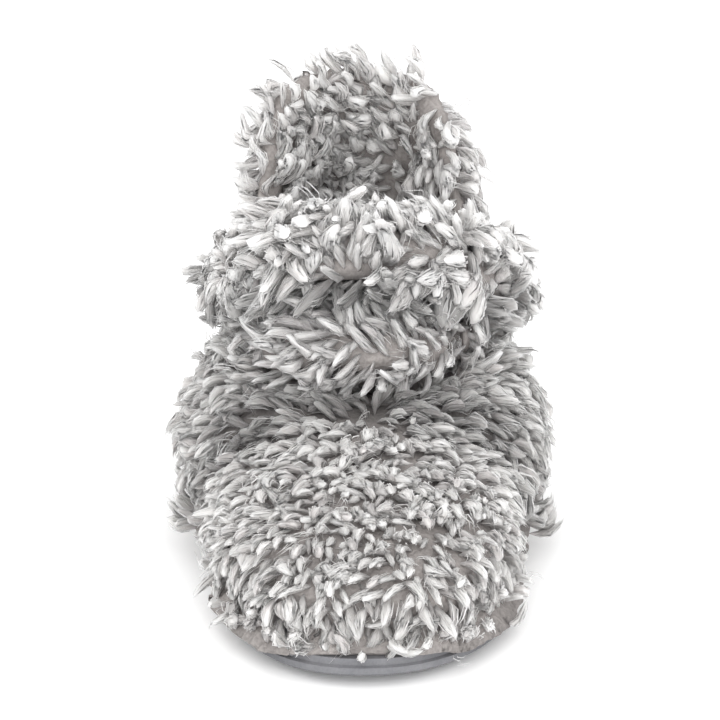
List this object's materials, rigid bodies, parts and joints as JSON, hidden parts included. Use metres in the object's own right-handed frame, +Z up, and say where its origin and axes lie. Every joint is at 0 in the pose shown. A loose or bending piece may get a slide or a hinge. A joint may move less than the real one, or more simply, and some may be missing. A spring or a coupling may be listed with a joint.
{
  "type": "bootie slipper",
  "caption": "Fluffy bootie slipper for the left foot, with a turned-down collar, a tall soft back and a flat rubber sole.",
  "frame": {"origin": "middle of the slipper's footprint, on the floor", "axes": "+Y from toe to heel, +X to the lateral side, +Z up"},
  "size_m": [0.144, 0.2678, 0.1662],
  "materials": {
    "sole_rubber": "matt moulded rubber, dark grey",
    "insole_pile": "short pile over foam, light grey",
    "frosted_pile": "long tufted pile, taupe grey with off-white tips",
    "shaft_pile": "long tufted pile, taupe grey with off-white tips",
    "cuff_pile": "long tufted pile, mostly off-white"
  },
  "bodies": {
    "root": {"outsole": "sole_rubber", "insole": "insole_pile", "upper": "frosted_pile", "shaft": "shaft_pile", "cuff": "cuff_pile"}
  },
  "joints": []
}
